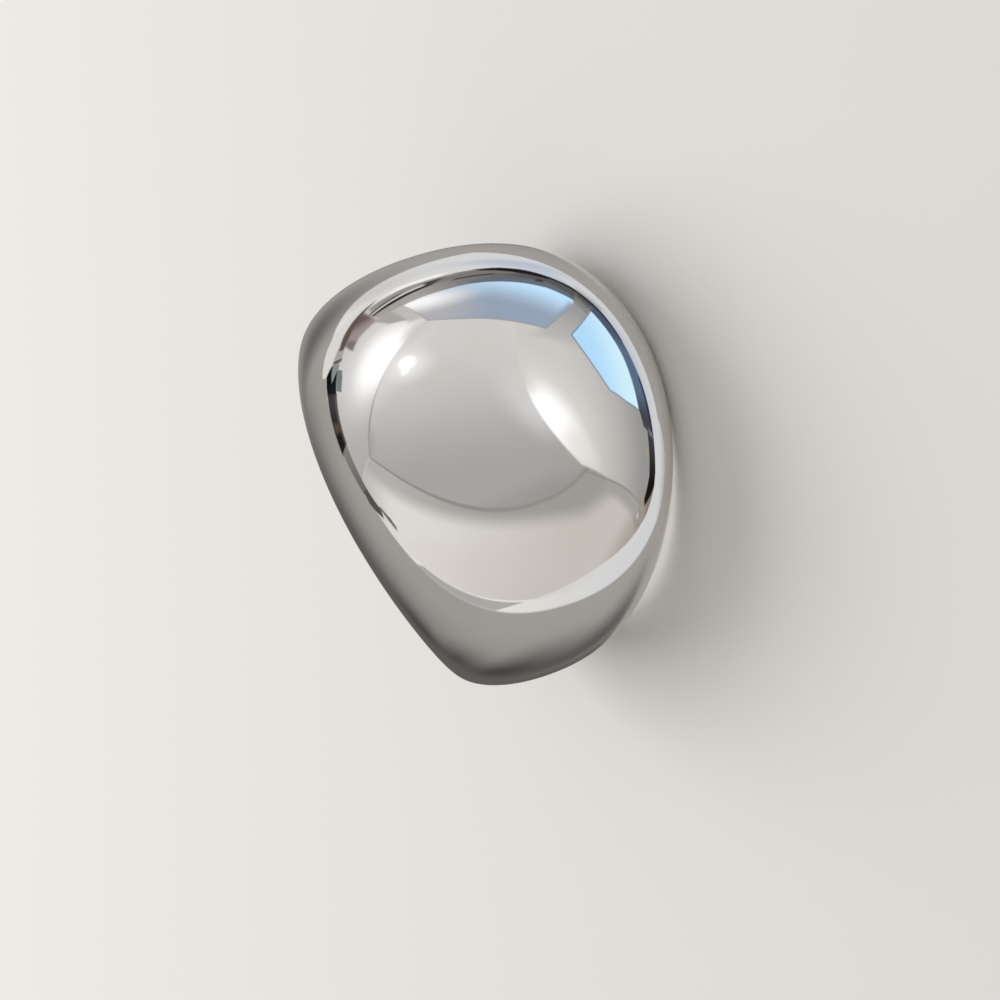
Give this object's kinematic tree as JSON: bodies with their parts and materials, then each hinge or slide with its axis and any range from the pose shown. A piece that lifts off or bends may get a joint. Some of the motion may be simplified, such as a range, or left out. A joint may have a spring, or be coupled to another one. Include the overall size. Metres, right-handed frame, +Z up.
{
  "type": "domed finger ring",
  "caption": "One-piece polished silver ring: a wide, high domed front that narrows and thins to a slim back, with a plain round bore and softened edges.",
  "frame": {"origin": "centre of the bounding box's underside, on the surface that the ring lies on", "axes": "+Z up from that surface; -Y the way the dome faces; +X across the ring, along the width of the finger; the bore leans 18.7 degrees from +Z towards +Y"},
  "size_m": [0.023, 0.0242, 0.0176],
  "materials": {
    "silver": "mirror-polished silver, faintly brushed inside the bore"
  },
  "bodies": {
    "root": {"ring_body": "silver"}
  },
  "joints": []
}
